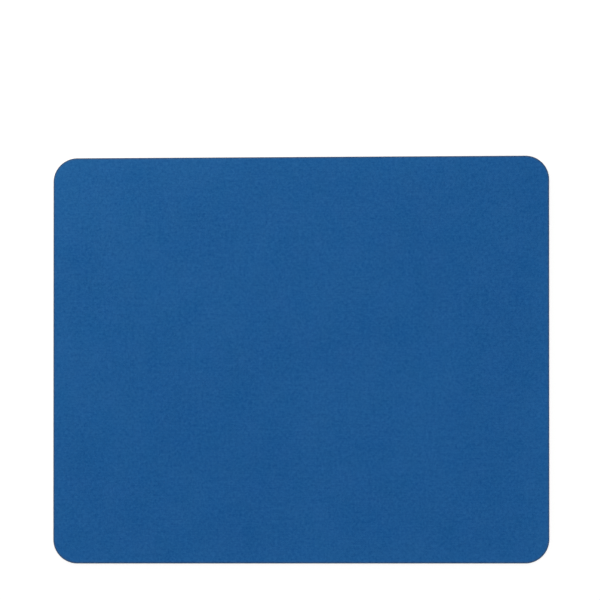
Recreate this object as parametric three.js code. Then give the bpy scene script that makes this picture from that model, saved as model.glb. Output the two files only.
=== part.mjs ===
// A cloth-topped mouse pad: knitted polyester bonded to sponge rubber by a hot-melt film, then cut
// out in one stroke of a steel-rule die.
// Millimetres, +Z up. The origin is at the middle of the underside. +X runs along the width and
// +Y away from the user.
import * as THREE from 'three';

// The cut outline, measured at the foot of the sponge
const padWidth = 223;
const padDepth = 182.8;
const cornerRadius = 10.8;
const farEdgeRise = 1.3; // the cut is out of square: its far edge lies this much further off at its right end
const cornerSteps = 6;
const sharpestCorner = 0.2;

// The three layers, from the desk up
const spongeThickness = 5.3;
const filmThickness = 0.1;
const clothThickness = 0.6;

// The rim, where the knife draws the layers down as it cuts
const rimWidth = 0.9;
const rimDrop = 0.4;
const rimSteps = 4;

// The cut wall of the sponge, which springs back hollow above a foot that stands out just past the cloth
const footReach = 0.1;
const wallHollow = 0.35;
const wallSteps = 8;

// The cut outline drawn in by inset, at height z. Each corner is an arc about the same centre.
function outlineRing(inset, z) {
  const radius = Math.max(cornerRadius - inset, sharpestCorner);
  const centreX = padWidth / 2 - inset - radius;
  const centreY = padDepth / 2 - inset - radius;
  const outline = new THREE.Shape();
  outline.absarc(centreX, centreY, radius, 0, Math.PI / 2);
  outline.absarc(-centreX, centreY, radius, Math.PI / 2, Math.PI);
  outline.absarc(-centreX, -centreY, radius, Math.PI, Math.PI * 1.5);
  outline.absarc(centreX, -centreY, radius, Math.PI * 1.5, Math.PI * 2);
  return outline.getPoints(cornerSteps).map(({ x, y }) => {
    const shareOfDepth = y / padDepth + 0.5;
    return new THREE.Vector3(x, y + farEdgeRise * (x / padWidth) * shareOfDepth, z);
  });
}

// The rings of a layer's surface across the rim, from the cut edge inwards, for a surface that lies at
// height z inside the rim. The fall steepens towards the edge as a parabola does.
function rimRings(z) {
  const rings = [];
  for (let step = 0; step <= rimSteps; step++) {
    const share = step / rimSteps;
    const fall = rimDrop * (1 - share) ** 2;
    rings.push(outlineRing(footReach + rimWidth * share, z - fall));
  }
  return rings;
}

// The rings of the sponge's cut wall, from its foot up to just below the cut edge of its top
function wallRings() {
  const rings = [];
  for (let step = 0; step < wallSteps; step++) {
    const share = step / wallSteps;
    const hollow = wallHollow * Math.sin(Math.PI * share);
    rings.push(outlineRing(footReach * share + hollow, (spongeThickness - rimDrop) * share));
  }
  return rings;
}

// A closed skin over rings that run from the underside outwards, up the edge and in over the top: a band
// between each ring and the next, and a flat cap inside the first and the last. A band is split along the
// same diagonals whichever way its rings run, so that two layers have the same facets where they touch.
function skinOver(rings) {
  const count = rings[0].length;
  const topStart = (rings.length - 1) * count;
  const triangles = [];
  for (let start = 0; start < topStart; start += count) {
    const ring = start / count;
    const runsOutwards = rings[ring + 1][0].x > rings[ring][0].x;
    for (let i = 0; i < count; i++) {
      const here = start + i;
      const next = start + ((i + 1) % count);
      const above = here + count;
      const nextAbove = next + count;
      if (runsOutwards) {
        triangles.push(here, next, above, next, nextAbove, above);
      } else {
        triangles.push(here, next, nextAbove, here, nextAbove, above);
      }
    }
  }
  for (const [a, b, c] of THREE.ShapeUtils.triangulateShape(rings[0], [])) {
    triangles.push(a, c, b);
    triangles.push(topStart + a, topStart + b, topStart + c);
  }
  const skin = new THREE.BufferGeometry().setFromPoints(rings.flat());
  skin.setIndex(triangles);
  skin.computeVertexNormals();
  return skin;
}

// A bonded layer of even thickness, which follows the rim down. Its underside is at height 0.
function bondedLayer(thickness) {
  return skinOver([...rimRings(0).reverse(), ...rimRings(thickness)]);
}

function spongeBase() {
  return skinOver([...wallRings(), ...rimRings(spongeThickness)]);
}

const sponge = new THREE.Mesh(
  spongeBase(),
  new THREE.MeshStandardMaterial({ color: 0x1b1c1e, roughness: 0.92, metalness: 0 }),
);
sponge.name = 'sponge_base';

const film = new THREE.Mesh(
  bondedLayer(filmThickness),
  new THREE.MeshStandardMaterial({ color: 0x8f949a, roughness: 0.55, metalness: 0 }),
);
film.name = 'adhesive_film';
film.position.z = spongeThickness;

const cloth = new THREE.Mesh(
  bondedLayer(clothThickness),
  new THREE.MeshStandardMaterial({ color: 0x1f5790, roughness: 0.95, metalness: 0 }),
);
cloth.name = 'cloth_face';
cloth.position.z = spongeThickness + filmThickness;

const mousePad = new THREE.Group();
mousePad.add(sponge, film, cloth);

export default mousePad;
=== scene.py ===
# Mouse pad, dressed for its picture: a jersey face, a line of hot-melt film and a sponge rubber base.
# Metres, in the frame's axes: +X to the user's right, +Y away from the user, +Z up, the desk at z = 0.
import math

import bpy
import numpy as np
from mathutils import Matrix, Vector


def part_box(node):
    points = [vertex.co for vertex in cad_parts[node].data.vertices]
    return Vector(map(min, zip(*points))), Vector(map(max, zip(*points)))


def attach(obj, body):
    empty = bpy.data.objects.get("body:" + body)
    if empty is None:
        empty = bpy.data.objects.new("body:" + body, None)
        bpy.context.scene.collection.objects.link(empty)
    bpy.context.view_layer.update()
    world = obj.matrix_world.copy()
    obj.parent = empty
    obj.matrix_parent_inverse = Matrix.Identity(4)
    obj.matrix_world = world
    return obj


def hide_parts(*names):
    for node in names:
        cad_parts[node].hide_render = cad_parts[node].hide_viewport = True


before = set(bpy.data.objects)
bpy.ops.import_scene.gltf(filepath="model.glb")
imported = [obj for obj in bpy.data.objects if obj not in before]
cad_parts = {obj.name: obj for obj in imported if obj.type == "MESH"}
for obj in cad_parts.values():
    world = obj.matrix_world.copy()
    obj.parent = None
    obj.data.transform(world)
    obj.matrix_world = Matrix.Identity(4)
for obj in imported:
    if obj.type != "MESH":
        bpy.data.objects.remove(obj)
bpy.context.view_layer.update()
mm = 0.001
print("frame loaded:", sorted(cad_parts))

# The cut that all three layers share
padCut = {
    "cornerRadius": 10.8 * mm,
    "farEdgeRise": 1.3 * mm,  # the far edge is out of square: it lies this much further off at its right end
    "footReach": 0.1 * mm,  # the sponge's foot stands out past the cloth
    "rimWidth": 0.9 * mm,  # the band that the knife drew down as it cut
    "rimDrop": 0.4 * mm,
    "rimRows": 7,
    "creaseAngle": 38,  # degrees: an edge that turns more than this, as a cut edge does, is shaded sharp
}
footLow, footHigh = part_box("sponge_base")
padWidth = footHigh.x - footLow.x
padDepth = -2 * footLow.y  # the near edge is square to the sides, so it gives the depth


# The outline is a corner's centre, or a place on the straight between two, plus the corner radius along the
# outward normal. Centre and normal change evenly with the distance round, so both are read off between knots:
# each side has half a corner, a straight and half a corner. The sides run near, right, far, left.
def cutOutline(columnsX, columnsY):
    radius = padCut["cornerRadius"]
    halfCorner = radius * math.pi / 4
    reachX = padWidth / 2 - radius
    reachY = padDepth / 2 - radius
    spans = [[halfCorner, straight, halfCorner] for straight in [2 * reachX, 2 * reachY] * 2]
    knots = np.concatenate([[0], np.cumsum(spans)])
    startAngle = 225  # degrees: where the middle of the near left corner faces
    turned = np.concatenate([[0], np.cumsum([45, 0, 45] * 4)])
    knotAngle = np.radians(startAngle + turned)
    corner = (np.arange(len(knots)) + 1) // 3 % 4  # near left, near right, far right, far left
    knotX = reachX * np.array([-1, 1, 1, -1])[corner]
    knotY = reachY * np.array([-1, -1, 1, 1])[corner]
    counts = np.array([columnsX, columnsY] * 2)
    sideEnds = knots[::3]
    side = np.repeat(np.arange(4), counts)
    step = (np.diff(sideEnds) / counts)[side]
    along = step * np.concatenate([np.arange(count) for count in counts])
    distance = sideEnds[side] + along
    angle = np.interp(distance, knots, knotAngle)
    normal = np.stack([np.cos(angle), np.sin(angle)], axis=1)
    centre = np.stack([np.interp(distance, knots, knotX), np.interp(distance, knots, knotY)], axis=1)
    return {
        "columnsX": columnsX,
        "columnsY": columnsY,
        "point": centre + radius * normal,
        "normal": normal,
        "side": side,
        "along": along,
        "step": step,
    }


# One ring of the outline for each row, drawn in by the row's inset and lifted to its height.
# Both may also vary from column to column.
def ringStack(outline, insets, heights):
    shape = (len(insets), len(outline["point"]))
    insets = np.broadcast_to(np.asarray(insets).reshape(len(insets), -1), shape)
    heights = np.broadcast_to(np.asarray(heights).reshape(len(heights), -1), shape)
    flat = outline["point"] - insets[..., None] * outline["normal"]
    return np.concatenate([flat, heights[..., None]], axis=2)


# Insets and heights across the rim, from the cut edge inwards, for a surface at the given height:
# the fall is a parabola that ends level at the rim's inner side.
def rimProfile(height):
    share = np.linspace(0, 1, padCut["rimRows"])
    return padCut["footReach"] + padCut["rimWidth"] * share, height - padCut["rimDrop"] * (1 - share) ** 2


# The near, right, far and left sides of a ring, each with both its ends. They are read from left to right
# and from near to far.
def ringSides(ring, columnsX, columnsY):
    closed = np.concatenate([ring, ring[:1]])
    ends = np.cumsum([0, columnsX, columnsY, columnsX, columnsY])
    near, right, far, left = (closed[start : end + 1] for start, end in zip(ends[:-1], ends[1:]))
    return near, right, far[::-1], left[::-1]


# A grid inside a ring, blended from its four sides: the sum of the two straight blends between
# opposite sides, less the blend of the four corners.
def gridInside(ring, columnsX, columnsY):
    near, right, far, left = ringSides(ring, columnsX, columnsY)
    u = np.linspace(0, 1, columnsX + 1)[None, :, None]
    v = np.linspace(0, 1, columnsY + 1)[:, None, None]
    acrossDepth = (1 - v) * near[None] + v * far[None]
    acrossWidth = (1 - u) * left[:, None] + u * right[:, None]
    corners = (1 - v) * ((1 - u) * near[0] + u * near[-1]) + v * ((1 - u) * far[0] + u * far[-1])
    return acrossDepth + acrossWidth - corners


# The numbers of that grid's points: the ring's own round its border, and new ones inside, from firstInner on
def gridNumbers(ringNumbers, firstInner, columnsX, columnsY):
    near, right, far, left = ringSides(ringNumbers, columnsX, columnsY)
    inner = firstInner + np.arange((columnsY - 1) * (columnsX - 1)).reshape(columnsY - 1, columnsX - 1)
    middleRows = np.concatenate([left[1:-1, None], inner, right[1:-1, None]], axis=1)
    return np.concatenate([near[None], middleRows, far[None]])


# A four-sided face between each point of a grid and its neighbours in the next column and row
def facesBetween(numbers):
    corners = [numbers[:-1, :-1], numbers[:-1, 1:], numbers[1:, 1:], numbers[1:, :-1]]
    return np.stack(corners, axis=-1).reshape(-1, 4)


# The far edge's slant: a point moves off by a share of the rise that grows from the near edge to the far one
# and from the left to the right.
def outOfSquare(points):
    x, y = points[:, 0], points[:, 1]
    slanted = points.copy()
    slanted[:, 1] = y + padCut["farEdgeRise"] * (x / padWidth) * (y / padDepth + 0.5)
    return slanted


# How far a point lies in from the outline, before the slant: beside a straight it is the lesser of the gaps
# to the two nearest sides, and in a corner the radius less the distance from the corner's centre.
def inFromEdge(x, y):
    radius = padCut["cornerRadius"]
    pastX = abs(x) - (padWidth / 2 - radius)
    pastY = abs(y) - (padDepth / 2 - radius)
    fromCentre = np.hypot(np.maximum(pastX, 0), np.maximum(pastY, 0))
    return radius - fromCentre - np.minimum(np.maximum(pastX, pastY), 0)


# A flat map of a piece for its textures, in shares of its side. The face that shows gets nearly all of it, at
# one scale. The bands round the edge are four strips above that, one for each side, and the hidden face is a
# thin strip on top.
mapLayout = {
    "margin": 0.01,
    "stripStart": 0.835,
    "stripStep": 0.034,
    "hiddenStart": 0.974,
    "hiddenHeight": 0.016,
}
mapScale = (1 - 2 * mapLayout["margin"]) / padWidth


# The showing face: x and y, counted from the pad's near left, at the map's scale
def faceMap(points):
    return mapLayout["margin"] + (points[..., :2] + [padWidth / 2, padDepth / 2]) * mapScale


# A strip: the distance along its side by the length of the profile so far, for each face's four corners
def stripMap(outline, profileLength):
    start = mapLayout["margin"] + outline["along"] * mapScale
    end = start + outline["step"] * mapScale
    across = np.stack([start, end, end, start], axis=1)
    base = mapLayout["stripStart"] + mapLayout["stripStep"] * outline["side"][None, :, None]
    low, high = profileLength[:-1, None, None] * mapScale, profileLength[1:, None, None] * mapScale
    up = base + np.concatenate([low, low, high, high], axis=2)
    return np.stack(np.broadcast_arrays(across[None], up), axis=-1)


# The hidden face: x as on the showing one, and y squashed into the top strip
def hiddenMap(points):
    squashed = faceMap(points)
    share = points[..., 1] / padDepth + 0.5
    squashed[..., 1] = mapLayout["hiddenStart"] + mapLayout["hiddenHeight"] * share
    return squashed


# Puts a skin into a new object, smooth but for its cut edges. Each point notes how far it lies in from the
# outline.
def newPiece(name, points, faces, flatMap):
    mesh = bpy.data.meshes.new(name)
    mesh.from_pydata(outOfSquare(points), [], faces)
    mesh.uv_layers.new(name="OFBake").data.foreach_set("uv", flatMap.ravel())
    inwards = inFromEdge(points[:, 0], points[:, 1]).astype(np.float32)
    mesh.attributes.new("inFromEdge", "FLOAT", "POINT").data.foreach_set("value", inwards)
    mesh.polygons.foreach_set("use_smooth", np.ones(len(faces), bool))
    mesh.set_sharp_from_angle(angle=math.radians(padCut["creaseAngle"]))
    mesh.update()
    piece = bpy.data.objects.new(name, mesh)
    bpy.context.scene.collection.objects.link(piece)
    print(f"{name}: {len(points)} points, {len(faces)} faces")
    return piece


# A closed skin over rings that run from the underside outwards, up the edge and in over the top. The showing
# cap, inside the first or the last ring, is a grid whose heights relief(x, y) adds to; the other is a fan.
def closedSkin(name, outline, rings, showing, relief=None):
    rows, columns = rings.shape[:2]
    columnsX, columnsY = outline["columnsX"], outline["columnsY"]
    showingRow, hiddenRow = (0, -1) if showing == "underside" else (-1, 0)
    grid = gridInside(rings[showingRow], columnsX, columnsY)
    if relief:
        grid[..., 2] += relief(grid[..., 0], grid[..., 1])
        if showing == "underside":  # its relief runs out to the very edge
            rings[0, :, 2] += relief(rings[0, :, 0], rings[0, :, 1])

    inner = grid[1:-1, 1:-1].reshape(-1, 3)
    middle = rings[hiddenRow].mean(axis=0)
    points = np.concatenate([rings.reshape(-1, 3), inner, middle[None]])
    firstInner = rows * columns
    ringNumbers = np.arange(firstInner).reshape(rows, columns)
    closedRings = np.concatenate([ringNumbers, ringNumbers[:, :1]], axis=1)
    bands = facesBetween(closedRings)
    cap = facesBetween(gridNumbers(ringNumbers[showingRow], firstInner, columnsX, columnsY))
    around = closedRings[hiddenRow]
    fan = np.stack([around[:-1], around[1:], np.full(columns, firstInner + len(inner))], axis=-1)
    if showing == "underside":
        cap = cap[:, ::-1]
    else:
        fan = fan[:, ::-1]

    profile = np.linalg.norm(np.diff(rings[:, columnsX // 2], axis=0), axis=1)
    strips = stripMap(outline, np.concatenate([[0], np.cumsum(profile)]))
    maps = [strips, faceMap(points[cap]), hiddenMap(points[fan])]
    flatMap = np.concatenate([part.reshape(-1, 2) for part in maps])
    return newPiece(name, points, bands.tolist() + cap.tolist() + fan.tolist(), flatMap)


# Materials

# An sRGB hex colour as linear red, green, blue and alpha
def linearColour(hexText):
    channels = np.array([int(hexText[i : i + 2], 16) for i in (1, 3, 5)]) / 255
    linear = np.where(channels <= 0.04045, channels / 12.92, ((channels + 0.055) / 1.055) ** 2.4)
    return (*linear.tolist(), 1.0)


# Adds a node, sets what settings names on it, and fills its inputs with values or links. Inputs that share a
# name go by number: a colour Mix blends from 6 to 7 and gives output 2, and a plain one blends from 2 to 3.
def addNode(tree, kind, inputs=None, **settings):
    node = tree.nodes.new("ShaderNode" + kind)
    for name, value in settings.items():
        setattr(node, name, value)
    for name, value in (inputs or {}).items():
        if isinstance(value, bpy.types.NodeSocket):
            tree.links.new(value, node.inputs[name])
        else:
            node.inputs[name].default_value = value
    return node


def newMaterial(name):
    material = bpy.data.materials.new(name)
    material.use_nodes = True
    material.node_tree.nodes.clear()
    return material, material.node_tree


# Polyester jersey: textured filament yarn, knitted, piece dyed and heat set. It gives the eye a flat, soft
# blue with hardly any shine. Filaments that face up are painted a little paler and greyer, a painted sheen,
# and the deep blue between the loops is painted shade; with the random patterns this makes a fine broken
# grain with faint streaks along the courses. Along the rim the colour is drawn dull and greyer, partly the
# cut yarn and partly painted shade, and inside the rim a painted highlight makes the cloth paler towards the
# edge.
jerseyLook = {
    # The first colour is the yarn's blue, painted paler and greyer as a sheen; the second is painted shade
    # between the loops.
    "yarnAndPaintedSheen": "#2263a0",
    "paintedShade": "#094988",
    # The cut yarn's two colours, the darker one painted shade between its ends. Mixed in along the rim, they
    # also paint shade on its slope.
    "cutYarn": "#465a72",
    "cutPaintedShade": "#172e44",
    "cutAndShadeAtEdge": 0.8,  # of the cut yarn's colour at the very edge, partly painted shade
    "wale": 1.05,  # mm between columns of loops: 0.75 on the real cloth, drawn coarser so that it shows
    "course": 0.76,  # mm between rows of loops: 0.53 on the real cloth, drawn coarser so that it shows
    "legSlope": 1.8,  # courses that a loop's leg would climb over one wale
    "loopFullness": 0.6,  # a power: below 1 it broadens the loops and narrows the gaps between their rows
    "grooveSide": 0.2,  # wales from the bottom of the groove beside a leg to the leg's full height
    "grooveFloor": 0.15,  # the share of that height left at the bottom
    "driftPatch": 2.2,  # mm between places where the loops wander from their rows
    "drift": 0.35,  # mm that they wander
    "fibre": 1.5,  # mm, the coarsest of the broken grain
    "streakLength": 5,  # mm, a stretch of thicker yarn along a course
    "streakWidth": 1.6,  # mm
    "blotch": 40,  # mm, the broadest of the uneven patches
    "dyePatch": 10,  # mm across a patch where the dye leans to red or to blue
    "dyeLean": (0.0015, 0.0, 0.006),  # by this much of each linear channel
    "paintedEdgeHighlightWidth": 13,  # mm in from the edge, over which a painted highlight makes the cloth paler
    "paintedEdgeHighlightTone": 0.08,  # the painted highlight's tone beside the rim
    "toneBase": -0.96,  # the tone where every pattern is at its lowest
    "toneShares": (0.55, 1.72, 0.3, 0.55),  # what stitch, fibre, streak and blotch add to it; the stitch's share is painted shade between the loops
    "relief": 0.12,  # mm
    "fibreRelief": 0.6,  # the fibres' height beside the loops'
    "roughBetween": 0.96,  # between filaments
    "roughOn": 0.84,  # on filaments
    "sheenTint": "#8fb6dc",
}


# The height of the knitted loops, from 0 to 1. A wale is two legs side by side that lean together, so the
# courses are a sine wave along the depth, sheared up and down again across each wale, with a groove on both
# sides of each leg. Noise makes them wander.
def jerseyStitch(tree, place):
    look = jerseyLook
    legWidth = 0.5  # wales
    spread = 2 * look["drift"]  # noise runs from 0 to 1, so its middle leaves the drift to either side
    wander = addNode(tree, "TexNoise", {"Vector": place, "Scale": 1 / look["driftPatch"], "Detail": 1.0})
    drift = addNode(
        tree, "VectorMath", {0: wander.outputs["Color"], 1: (spread,) * 3, 2: place},
        operation="MULTIPLY_ADD",
    ).outputs[0]
    split = addNode(tree, "SeparateXYZ", {0: drift})
    across = addNode(tree, "Math", {0: split.outputs["X"], 1: look["wale"]}, operation="DIVIDE").outputs[0]
    fold = addNode(tree, "Math", {0: across, 1: legWidth}, operation="PINGPONG").outputs[0]
    row = addNode(tree, "Math", {0: split.outputs["Y"], 1: look["course"]}, operation="DIVIDE").outputs[0]
    chevron = addNode(
        tree, "Math", {0: fold, 1: -look["legSlope"], 2: row}, operation="MULTIPLY_ADD"
    ).outputs[0]
    turn = addNode(tree, "Math", {0: chevron, 1: 2 * math.pi}, operation="MULTIPLY").outputs[0]
    wave = addNode(tree, "Math", {0: turn}, operation="SINE").outputs[0]
    lifted = addNode(tree, "Math", {0: wave, 1: 0.5, 2: 0.5}, operation="MULTIPLY_ADD").outputs[0]
    loop = addNode(tree, "Math", {0: lifted, 1: look["loopFullness"]}, operation="POWER").outputs[0]
    groove = addNode(tree, "Math", {0: across, 1: legWidth / 2}, operation="PINGPONG").outputs[0]
    leg = addNode(
        tree, "MapRange",
        {
            "Value": groove,
            "From Min": 0.0,
            "From Max": look["grooveSide"],
            "To Min": look["grooveFloor"],
            "To Max": 1.0,
        },
        interpolation_type="SMOOTHSTEP",
    ).outputs[0]
    return addNode(tree, "Math", {0: loop, 1: leg}, operation="MULTIPLY").outputs[0]


# How pale the yarn is, from the painted shade at 0 to the yarn's colour with its painted sheen at 1: a base,
# raised near the edge by a painted highlight, plus a share of each pattern
def jerseyTone(tree, place, inwards, stitch, fibre):
    look = jerseyLook
    along = addNode(
        tree, "Mapping",
        {"Vector": place, "Scale": (1 / look["streakLength"], 1 / look["streakWidth"], 1.0)},
    ).outputs[0]
    streak = addNode(tree, "TexNoise", {"Vector": along, "Scale": 1.0, "Detail": 2.0}).outputs["Fac"]
    blotch = addNode(
        tree, "TexNoise",
        {"Vector": place, "Scale": 1 / look["blotch"], "Detail": 5.0, "Roughness": 0.8},
    ).outputs["Fac"]
    # The tone rises towards the edge: a painted highlight.
    tone = addNode(
        tree, "MapRange",
        {
            "Value": inwards,
            "From Min": padCut["footReach"] + padCut["rimWidth"],
            "From Max": look["paintedEdgeHighlightWidth"] * mm,
            "To Min": look["toneBase"] + look["paintedEdgeHighlightTone"],
            "To Max": look["toneBase"],
        },
    ).outputs[0]
    # The stitch darkens the colour between the loops: painted shade. Fibre, streak and blotch are the cloth's
    # own grain.
    for pattern, share in zip((stitch, fibre, streak, blotch), look["toneShares"]):
        tone = addNode(tree, "Math", {0: pattern, 1: share, 2: tone}, operation="MULTIPLY_ADD").outputs[0]
    return tone


# The dyed yarn at that tone, with its painted shade and sheen, leaning to red or blue in patches, and the cut
# yarn mixed in along the rim, which paints shade there too
def jerseyColour(tree, place, inwards, tone):
    look = jerseyLook
    dyedWithPaintedShadeAndSheen = addNode(
        tree, "Mix", {0: tone, 6: linearColour(look["paintedShade"]), 7: linearColour(look["yarnAndPaintedSheen"])},
        data_type="RGBA", clamp_factor=True,
    ).outputs[2]
    patch = addNode(
        tree, "TexNoise", {"Vector": place, "Scale": 1 / look["dyePatch"], "Detail": 1.0}, normalize=False
    ).outputs["Color"]
    leaning = addNode(
        tree, "VectorMath", {0: patch, 1: look["dyeLean"], 2: dyedWithPaintedShadeAndSheen}, operation="MULTIPLY_ADD"
    ).outputs[0]
    cutYarnAndShade = addNode(
        tree, "Mix", {0: tone, 6: linearColour(look["cutPaintedShade"]), 7: linearColour(look["cutYarn"])},
        data_type="RGBA", clamp_factor=True,
    ).outputs[2]
    # Towards the edge the cut yarn's duller, darker colour takes over: partly the cut yarn, partly painted
    # shade.
    cutAndShadeShare = addNode(
        tree, "MapRange",
        {
            "Value": inwards,
            "From Min": padCut["footReach"],
            "From Max": padCut["footReach"] + padCut["rimWidth"],
            "To Min": look["cutAndShadeAtEdge"],
            "To Max": 0.0,
        },
    ).outputs[0]
    return addNode(tree, "Mix", {0: cutAndShadeShare, 6: leaning, 7: cutYarnAndShade}, data_type="RGBA").outputs[2]


def jerseyMaterial():
    look = jerseyLook
    material, tree = newMaterial("polyesterJersey")
    coordinates = addNode(tree, "TexCoord").outputs["Object"]
    place = addNode(
        tree, "VectorMath", {0: coordinates, 1: (1 / mm,) * 3}, operation="MULTIPLY"
    ).outputs[0]
    inwards = addNode(tree, "Attribute", attribute_name="inFromEdge").outputs["Fac"]
    stitch = jerseyStitch(tree, place)
    fibre = addNode(
        tree, "TexNoise",
        {"Vector": place, "Scale": 1 / look["fibre"], "Detail": 3.0, "Roughness": 1.0, "Lacunarity": 1.5},
    ).outputs["Fac"]
    tone = jerseyTone(tree, place, inwards, stitch, fibre)
    height = addNode(
        tree, "Math", {0: fibre, 1: look["fibreRelief"], 2: stitch}, operation="MULTIPLY_ADD"
    ).outputs[0]
    bump = addNode(tree, "Bump", {"Strength": 0.8, "Distance": look["relief"] * mm, "Height": height})
    roughness = addNode(
        tree, "MapRange",
        {
            "Value": fibre,
            "From Min": 0.2,
            "From Max": 0.8,
            "To Min": look["roughBetween"],
            "To Max": look["roughOn"],
        },
    ).outputs[0]
    shader = addNode(
        tree, "BsdfPrincipled",
        {
            "Base Color": jerseyColour(tree, place, inwards, tone),
            "Roughness": roughness,
            "Normal": bump.outputs[0],
            "IOR": 1.5,
            "Specular IOR Level": 0.12,
            "Sheen Weight": 0.05,
            "Sheen Roughness": 0.45,
            "Sheen Tint": linearColour(look["sheenTint"]),
        },
    )
    addNode(tree, "OutputMaterial", {"Surface": shader.outputs[0]})
    return material


# Hot-melt film: a clear co-polyester web, melted and set again between the layers. It gives the eye a milky
# hairline along the cut edge, a little glossy where the knife has smeared it.
filmLook = {
    "clear": "#8f949a",
    "smear": "#5d646c",
    "mottle": 2.5,  # mm between smears
    "relief": 0.03,  # mm
    "roughSmear": 0.35,
    "roughClear": 0.6,
}


def filmMaterial():
    look = filmLook
    material, tree = newMaterial("hotMeltFilm")
    place = addNode(tree, "TexCoord").outputs["Object"]
    mottle = addNode(
        tree, "TexNoise", {"Vector": place, "Scale": 1 / (look["mottle"] * mm), "Detail": 3.0}
    ).outputs["Fac"]
    colour = addNode(
        tree, "Mix", {0: mottle, 6: linearColour(look["smear"]), 7: linearColour(look["clear"])},
        data_type="RGBA",
    ).outputs[2]
    roughness = addNode(
        tree, "MapRange",
        {
            "Value": mottle,
            "From Min": 0.3,
            "From Max": 0.7,
            "To Min": look["roughSmear"],
            "To Max": look["roughClear"],
        },
    ).outputs[0]
    bump = addNode(tree, "Bump", {"Strength": 0.4, "Distance": look["relief"] * mm, "Height": mottle})
    shader = addNode(
        tree, "BsdfPrincipled",
        {"Base Color": colour, "Roughness": roughness, "Normal": bump.outputs[0], "IOR": 1.48},
    )
    addNode(tree, "OutputMaterial", {"Surface": shader.outputs[0]})
    return material


# Sponge rubber: blown styrene-butadiene, pressed against a patterned plate and split. It gives the eye a dull
# near-black with open cells along the cut wall, their hollows painted darker as shade, and a closer, slightly
# greyer skin on the underside.
spongeLook = {
    "cellWall": "#2b2c2e",
    # the next colour is the dark at the bottom of the cells: painted shade
    "paintedPoreShade": "#0c0c0d",
    "skin": "#1d1e20",
    "dust": "#3a3a3b",
    "dustShare": 0.5,  # of the dust's colour on the highest of the skin's grain
    "cell": 0.6,  # mm across a cell: 0.3 to 0.4 on the real sponge, drawn coarser so that it shows
    "cellFloor": 0.3,  # tone at the bottom of a cell: painted shade
    "blowhole": 1.7,  # mm between the larger cells
    "blowholeFloor": 0.14,  # radius of a larger cell's floor, painted dark as shade, as a share of that
    "blowholeMouth": 0.26,  # radius of its mouth
    "grain": 0.8,  # mm, the fine grain of the pressed skin
    "relief": 0.15,  # mm
    "roughCut": 0.95,
    "roughSkin": 0.72,
}


# How far up a cell's wall the knife has cut, from 0 at the bottom of a cell to 1: the fine cells times the
# larger ones. It shapes the bump, and its low end paints shade in the cells' hollows.
def spongeCells(tree, place):
    look = spongeLook
    fromCell = addNode(
        tree, "TexVoronoi", {"Vector": place, "Scale": 1 / (look["cell"] * mm), "Randomness": 1.0}
    ).outputs["Distance"]
    fromBlowhole = addNode(
        tree, "TexVoronoi", {"Vector": place, "Scale": 1 / (look["blowhole"] * mm), "Randomness": 1.0}
    ).outputs["Distance"]
    fine = addNode(
        tree, "MapRange",
        {"Value": fromCell, "From Min": 0.05, "From Max": 0.6, "To Min": look["cellFloor"], "To Max": 1.0},
    ).outputs[0]
    coarse = addNode(
        tree, "MapRange",
        {"Value": fromBlowhole, "From Min": look["blowholeFloor"], "From Max": look["blowholeMouth"]},
    ).outputs[0]
    return addNode(tree, "Math", {0: fine, 1: coarse}, operation="MULTIPLY").outputs[0]


def spongeMaterial():
    look = spongeLook
    material, tree = newMaterial("spongeRubber")
    place = addNode(tree, "TexCoord").outputs["Object"]
    wall = spongeCells(tree, place)
    grain = addNode(
        tree, "TexNoise", {"Vector": place, "Scale": 1 / (look["grain"] * mm), "Detail": 3.0}
    ).outputs["Fac"]
    skin = addNode(tree, "Attribute", attribute_name="skin").outputs["Fac"]
    # The cut wall's colour, with the cells' hollows painted dark as shade
    cutWallWithPaintedShade = addNode(
        tree, "Mix", {0: wall, 6: linearColour(look["paintedPoreShade"]), 7: linearColour(look["cellWall"])},
        data_type="RGBA",
    ).outputs[2]
    dusty = addNode(
        tree, "MapRange",
        {"Value": grain, "From Min": 0.45, "From Max": 0.8, "To Min": 0.0, "To Max": look["dustShare"]},
    ).outputs[0]
    skinColour = addNode(
        tree, "Mix", {0: dusty, 6: linearColour(look["skin"]), 7: linearColour(look["dust"])},
        data_type="RGBA",
    ).outputs[2]
    colour = addNode(tree, "Mix", {0: skin, 6: cutWallWithPaintedShade, 7: skinColour}, data_type="RGBA").outputs[2]
    height = addNode(tree, "Mix", {0: skin, 2: wall, 3: grain}, data_type="FLOAT").outputs[0]
    bump = addNode(tree, "Bump", {"Strength": 0.8, "Distance": look["relief"] * mm, "Height": height})
    roughness = addNode(
        tree, "Mix", {0: skin, 2: look["roughCut"], 3: look["roughSkin"]}, data_type="FLOAT"
    ).outputs[0]
    shader = addNode(
        tree, "BsdfPrincipled",
        {
            "Base Color": colour,
            "Roughness": roughness,
            "Normal": bump.outputs[0],
            "IOR": 1.52,
            "Specular IOR Level": 0.3,
        },
    )
    addNode(tree, "OutputMaterial", {"Surface": shader.outputs[0]})
    return material


# Pieces

# Fits a piece into the frame in place of its plain solid.
def seat(piece, node, material):
    piece.data.materials.append(material)
    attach(piece, "root")
    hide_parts(node)


# A bonded layer of even thickness that follows the rim down. Its rings run out along the rim of the face
# below and in again along the rim of its own.
def bondedLayer(name, size, under, top, relief=None):
    outline = cutOutline(size["columnsX"], size["columnsY"])
    underInset, underHeight = rimProfile(under)
    topInset, topHeight = rimProfile(top)
    insets = np.concatenate([underInset[::-1], topInset])
    heights = np.concatenate([underHeight[::-1], topHeight])
    return closedSkin(name, outline, ringStack(outline, insets, heights), "top", relief)


# The jersey, which the sponge's larger cells print through faintly
jerseyFace = {
    "columnsX": 210,
    "columnsY": 172,
    "printThrough": 0.02 * mm,
    "printFade": 5 * mm,  # over this width beside the rim
    "waves": 36,
    "shortestWave": 3.5,  # mm
    "longestWave": 11,  # mm
    "seed": 11,
}


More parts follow.
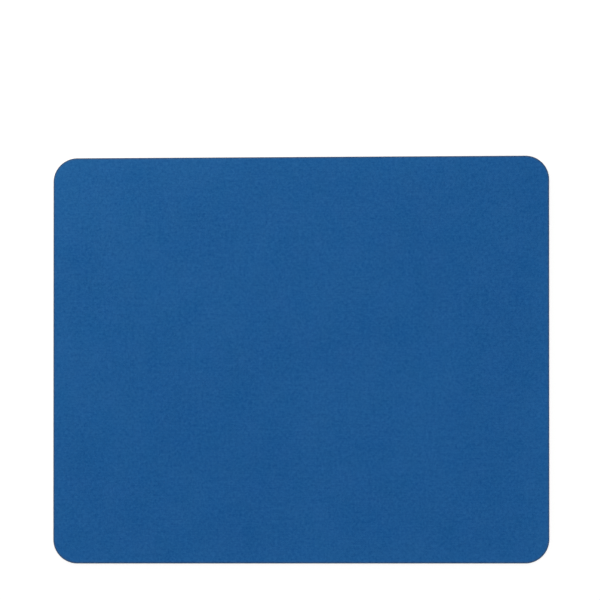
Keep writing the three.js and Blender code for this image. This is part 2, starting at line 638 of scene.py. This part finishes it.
# The print: a sum of plane waves of drawn bearing, length and phase, which fades out towards the rim
def clothRelief(x, y):
    size = jerseyFace
    draw = np.random.default_rng(size["seed"])
    bearing = draw.uniform(0, 2 * math.pi, size["waves"])
    length = draw.uniform(size["shortestWave"], size["longestWave"], size["waves"]) * mm
    phase = draw.uniform(0, 2 * math.pi, size["waves"])
    total = np.zeros_like(x)
    for wave in range(size["waves"]):
        run = (x * math.cos(bearing[wave]) + y * math.sin(bearing[wave])) / length[wave]
        total += np.sin(2 * math.pi * run + phase[wave])
    fade = np.clip((inFromEdge(x, y) - padCut["rimWidth"]) / size["printFade"], 0, 1)
    return size["printThrough"] * fade * total / math.sqrt(size["waves"])


def buildJersey():
    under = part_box("adhesive_film")[1].z
    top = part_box("cloth_face")[1].z
    piece = bondedLayer("jerseyFace", jerseyFace, under, top, clothRelief)
    seat(piece, "cloth_face", jerseyMaterial())


# The film, a tenth of a millimetre thick. It has as many columns as the jersey, so that its cut edge follows
# the corners as closely and shows as an unbroken line.
hotMeltFilm = {"columnsX": jerseyFace["columnsX"], "columnsY": jerseyFace["columnsY"]}


def buildFilm():
    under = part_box("sponge_base")[1].z
    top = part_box("adhesive_film")[1].z
    piece = bondedLayer("hotMeltFilm", hotMeltFilm, under, top)
    seat(piece, "adhesive_film", filmMaterial())


# The sponge: a wall that springs back hollow above its foot, roughened by the cells that the knife opened,
# and an underside pressed into a lattice of round-shouldered grips with furrows between them.
spongeBase = {
    "columnsX": 280,
    "columnsY": 230,
    "wallRows": 11,
    "wallHollow": 0.35 * mm,
    "wallRoughness": 0.05 * mm,
    "gripPitch": 4.8 * mm,
    "gripDepth": 0.35 * mm,
    "gripEdge": 0.35,  # the crossed waves' height where a grip's shoulder begins
    "shoulder": 0.4,  # their rise from there to the bottom of a furrow
    "footPress": 3.5 * mm,  # the furrows close over this width
    "footOpen": 0.15,  # to this share of their depth
    "seed": 5,
}


# Furrow depth: two crossed cosines along the diagonals, from 0 to 1, squared off by a smooth step. The knife
# has pressed the furrows nearly shut along the foot.
def gripRelief(x, y):
    size = spongeBase
    turns = math.pi * math.sqrt(2) / size["gripPitch"]
    crossed = 0.5 - 0.25 * (np.cos((x + y) * turns) + np.cos((x - y) * turns))
    share = np.clip((crossed - size["gripEdge"]) / size["shoulder"], 0, 1)
    opened = np.clip(inFromEdge(x, y) / size["footPress"], size["footOpen"], 1)
    return size["gripDepth"] * opened * share * share * (3 - 2 * share)


# The wall's rings are drawn in by half a sine wave from foot to rim, and roughened by the same share.
def buildSponge():
    size = spongeBase
    outline = cutOutline(size["columnsX"], size["columnsY"])
    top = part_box("sponge_base")[1].z
    share = np.linspace(0, 1, size["wallRows"])[:-1]
    bow = np.sin(math.pi * share)
    columns = len(outline["point"])
    draw = np.random.default_rng(size["seed"])
    rough = draw.normal(0, size["wallRoughness"], (len(share), columns)) * bow[:, None]
    wallInset = (padCut["footReach"] * share + size["wallHollow"] * bow)[:, None] + rough
    wallHeight = (top - padCut["rimDrop"]) * share
    topInset, topHeight = rimProfile(top)
    insets = np.concatenate([wallInset, np.repeat(topInset[:, None], columns, axis=1)])
    rings = ringStack(outline, insets, np.concatenate([wallHeight, topHeight]))
    piece = closedSkin("spongeBase", outline, rings, "underside", gripRelief)
    skin = np.ones(len(piece.data.vertices), np.float32)
    skin[columns : len(rings) * columns] = 0  # the cut wall, above the foot's ring
    piece.data.attributes.new("skin", "FLOAT", "POINT").data.foreach_set("value", skin)
    seat(piece, "sponge_base", spongeMaterial())


buildSponge()
buildFilm()
buildJersey()

# Floor, light and camera

# A pale sweep under soft light from straight above, with a softbox low over the far left. What the camera
# sees of the sweep gets a little light of its own, so that it reads as white and keeps the pad's shadow.
studio = {
    "floorSize": 16.0,
    "floorDrop": 0.1 * mm,  # clear of the pad's underside
    "floorColour": "#cccccc",
    "floorGlow": 0.5,
    "skyStrength": 0.24,
    "sunStrength": 0.65 * math.pi,  # pi alone would show a level white face as white
    "sunAngle": 12,  # degrees across, for soft shadows
    "softboxPower": 1.05,  # watts
    "softboxColour": "#ffd8b7",  # a little warmer than the rest of the light
    "softboxSize": 0.20,
    "softboxPlace": (-0.20, 0.35, 0.25),
}


# 1 on rays from the camera and on the ones that gloss and glass send on, 0 on those that carry light.
def seenFactor(tree):
    path = addNode(tree, "LightPath").outputs
    seen = path["Is Camera Ray"]
    for kind in ("Is Glossy Ray", "Is Transmission Ray"):
        seen = addNode(tree, "Math", {0: seen, 1: path[kind]}, operation="MAXIMUM").outputs[0]
    return seen


def buildFloor():
    reach = studio["floorSize"] / 2
    drop = -studio["floorDrop"]
    mesh = bpy.data.meshes.new("floor")
    corners = [(-reach, -reach, drop), (reach, -reach, drop), (reach, reach, drop), (-reach, reach, drop)]
    mesh.from_pydata(corners, [], [(0, 1, 2, 3)])
    floor = bpy.data.objects.new("floor", mesh)
    bpy.context.scene.collection.objects.link(floor)
    material, tree = newMaterial("paleSweep")
    matte = addNode(tree, "BsdfDiffuse", {"Color": linearColour(studio["floorColour"])})
    glow = addNode(
        tree, "Math", {0: seenFactor(tree), 1: studio["floorGlow"]}, operation="MULTIPLY"
    ).outputs[0]
    light = addNode(tree, "Emission", {"Strength": glow})
    both = addNode(tree, "AddShader", {0: matte.outputs[0], 1: light.outputs[0]})
    addNode(tree, "OutputMaterial", {"Surface": both.outputs[0]})
    mesh.materials.append(material)


# A white sky to the eye, and a dimmer one to the pad
def buildSky():
    world = bpy.data.worlds.new("studioSky")
    bpy.context.scene.world = world
    world.use_nodes = True
    tree = world.node_tree
    tree.nodes.clear()
    strength = addNode(
        tree, "MapRange", {"Value": seenFactor(tree), "To Min": studio["skyStrength"], "To Max": 1.0}
    ).outputs[0]
    sky = addNode(tree, "Background", {"Color": (1, 1, 1, 1), "Strength": strength})
    addNode(tree, "OutputWorld", {"Surface": sky.outputs[0]})


# Both lamps shine straight down.
def buildLamps():
    sun = bpy.data.lights.new("overheadSun", "SUN")
    sun.energy = studio["sunStrength"]
    sun.angle = math.radians(studio["sunAngle"])
    sunObject = bpy.data.objects.new("overheadSun", sun)
    softbox = bpy.data.lights.new("softbox", "AREA")
    softbox.shape = "SQUARE"
    softbox.size = studio["softboxSize"]
    softbox.energy = studio["softboxPower"]
    softbox.color = linearColour(studio["softboxColour"])[:3]
    softboxObject = bpy.data.objects.new("softbox", softbox)
    softboxObject.location = studio["softboxPlace"]
    softboxObject.visible_camera = False
    for lamp in (sunObject, softboxObject):
        bpy.context.scene.collection.objects.link(lamp)


# The picture looks nearly straight down on the pad, which lies a little below its middle.
picture = {
    "width": 600,  # pixels
    "padMiddle": (301.36, 360.25),  # pixels, the middle of the pad's outline
    "scale": 2.2223,  # pixels to a millimetre on the desk
    "lens": 600.0,  # mm
    "sensor": 36.0,  # mm
    "lean": 1.5,  # degrees off straight down, as seen from the user's side
}


def buildCamera():
    data = bpy.data.cameras.new("camera")
    data.lens = picture["lens"]
    data.sensor_width = picture["sensor"]
    distance = picture["lens"] / picture["sensor"] * picture["width"] / picture["scale"] * mm
    data.clip_start = distance / 100
    data.clip_end = distance * 10
    lean = math.radians(picture["lean"])
    aimX = (picture["width"] / 2 - picture["padMiddle"][0]) / picture["scale"] * mm
    aimY = (picture["padMiddle"][1] - picture["width"] / 2) / picture["scale"] / math.cos(lean) * mm
    camera = bpy.data.objects.new("camera", data)
    camera.location = (aimX, aimY - distance * math.sin(lean), distance * math.cos(lean))
    camera.rotation_euler = (lean, 0, 0)
    bpy.context.scene.collection.objects.link(camera)
    bpy.context.scene.camera = camera


buildFloor()
buildSky()
buildLamps()
buildCamera()
bpy.context.scene.view_settings.view_transform = "Standard"
print("studio ready")
